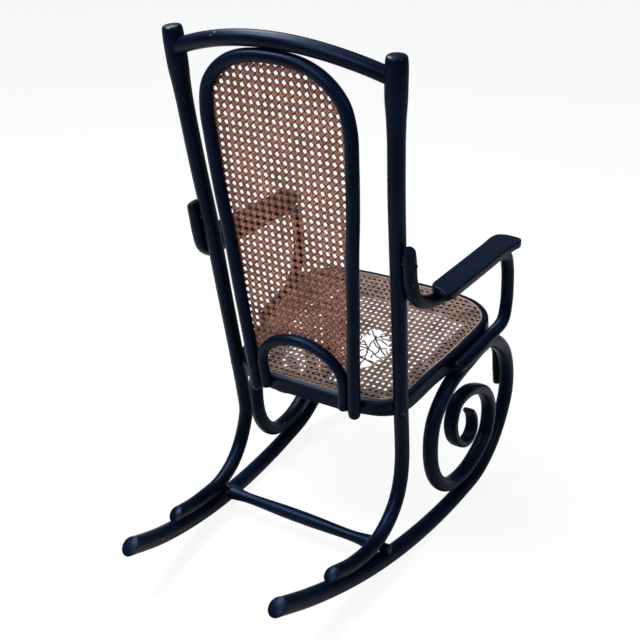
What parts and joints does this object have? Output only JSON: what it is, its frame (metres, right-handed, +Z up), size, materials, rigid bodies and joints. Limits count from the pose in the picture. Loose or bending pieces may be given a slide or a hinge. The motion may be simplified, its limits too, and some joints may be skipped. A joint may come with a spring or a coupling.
{
  "type": "bentwood rocking chair",
  "caption": "Rocking chair of bent wooden rods with scrolled rockers, open armrests and a cane seat and back; it rocks on its two runners.",
  "frame": {"origin": "on the floor, under the middle of the chair's bounding box", "axes": "+Z up, the sitter faces -Y, the sitter's left is +X"},
  "size_m": [0.566, 0.834, 1.0233],
  "materials": {
    "ebonised_wood": "satin black stain and lacquer on bent beech",
    "back_cane": "stained woven cane",
    "seat_cane": "worn woven cane",
    "screw_steel": "dull countersunk screws"
  },
  "bodies": {
    "root": {"left_rocker": "ebonised_wood", "left_post": "ebonised_wood", "left_arm_rod": "ebonised_wood", "left_armrest": "ebonised_wood", "right_rocker": "ebonised_wood", "right_post": "ebonised_wood", "right_arm_rod": "ebonised_wood", "right_armrest": "ebonised_wood", "back_hoop": "ebonised_wood", "lower_back_arch": "ebonised_wood", "crest_rail": "ebonised_wood", "front_brace_hoop": "ebonised_wood", "rear_stretcher": "ebonised_wood", "seat_frame": "ebonised_wood", "left_arm_post_screw": "screw_steel", "left_arm_seat_screw": "screw_steel", "left_armrest_front_screw": "screw_steel", "left_armrest_rear_screw": "screw_steel", "left_rocker_seat_front_screw": "screw_steel", "left_rocker_seat_rear_screw": "screw_steel", "left_post_seat_screw": "screw_steel", "left_post_tail_screw": "screw_steel", "left_stretcher_screw": "screw_steel", "left_hoop_leg_screw": "screw_steel", "left_arch_leg_screw": "screw_steel", "left_brace_screw": "screw_steel", "right_arm_post_screw": "screw_steel", "right_arm_seat_screw": "screw_steel", "right_armrest_front_screw": "screw_steel", "right_armrest_rear_screw": "screw_steel", "right_rocker_seat_front_screw": "screw_steel", "right_rocker_seat_rear_screw": "screw_steel", "right_post_seat_screw": "screw_steel", "right_post_tail_screw": "screw_steel", "right_stretcher_screw": "screw_steel", "right_hoop_leg_screw": "screw_steel", "right_arch_leg_screw": "screw_steel", "right_brace_screw": "screw_steel", "hoop_crown_screw": "screw_steel", "brace_seat_screw": "screw_steel", "back_cane": "back_cane", "seat_cane": "seat_cane"}
  },
  "joints": []
}
